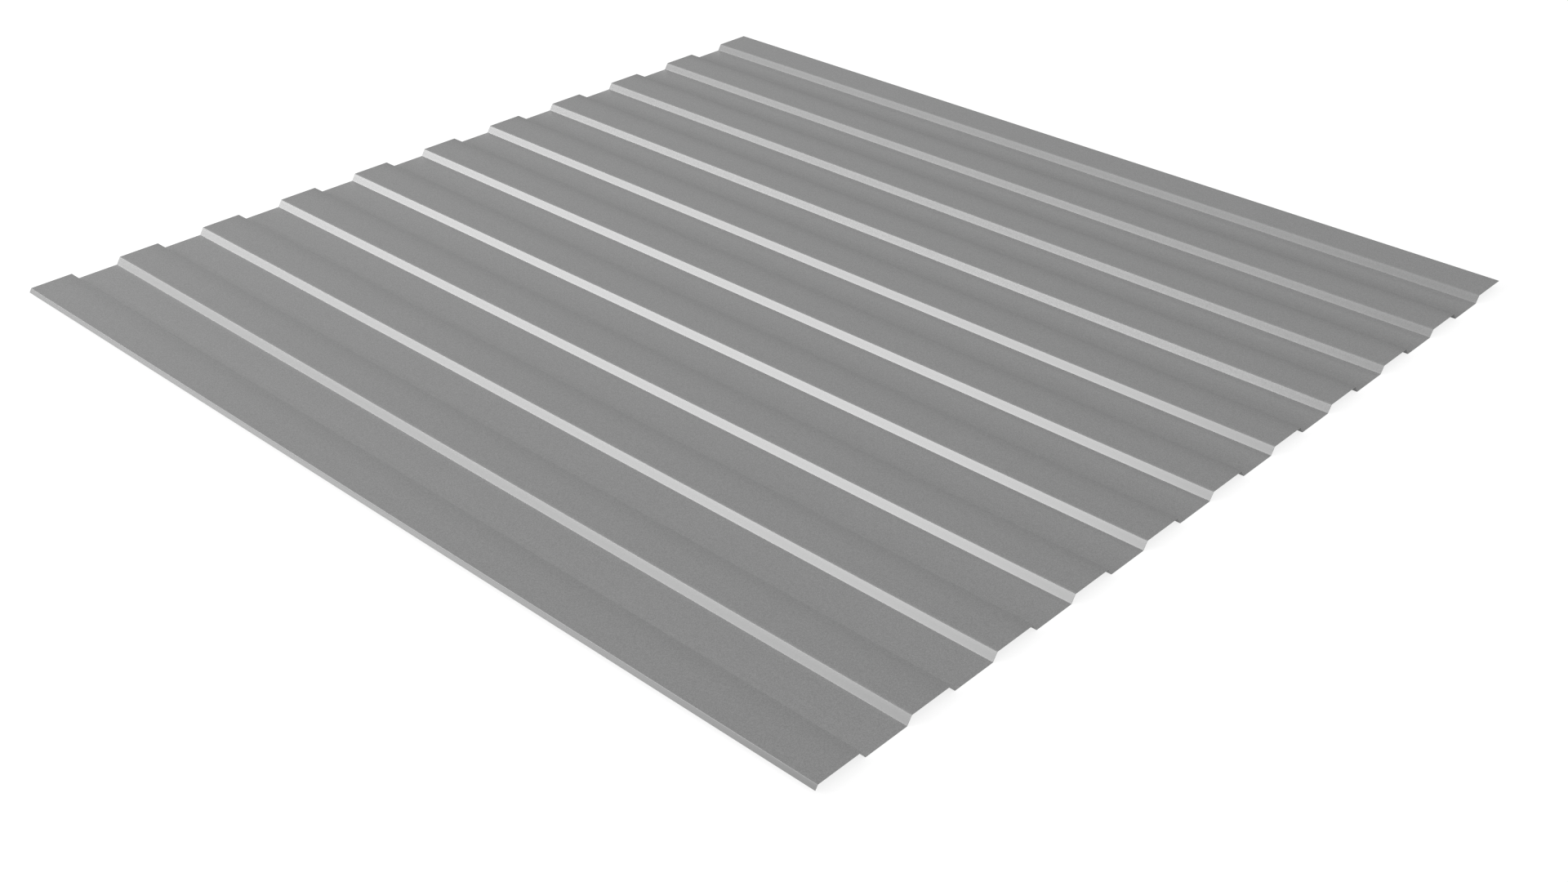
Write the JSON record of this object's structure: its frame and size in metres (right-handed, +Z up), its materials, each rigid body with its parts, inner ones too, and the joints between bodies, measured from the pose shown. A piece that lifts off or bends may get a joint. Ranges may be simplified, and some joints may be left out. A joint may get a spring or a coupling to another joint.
{
  "type": "corrugated metal sheet",
  "caption": "Low trapezoidal profiled steel sheet with flat-topped ribs along its length, a short lip turned down along one edge and a plain cut along the other.",
  "frame": {"origin": "under the middle of the sheet, on the floor that the undersides of its troughs lie on", "axes": "+X across the ribs, from the turned-down lip to the plain closing edge; +Y along the ribs; +Z up, on the side that faces the weather"},
  "size_m": [1.205, 1.25, 0.009],
  "materials": {
    "galvanised_steel": "satin"
  },
  "bodies": {
    "root": {"profiled_sheet": "galvanised_steel"}
  },
  "joints": []
}
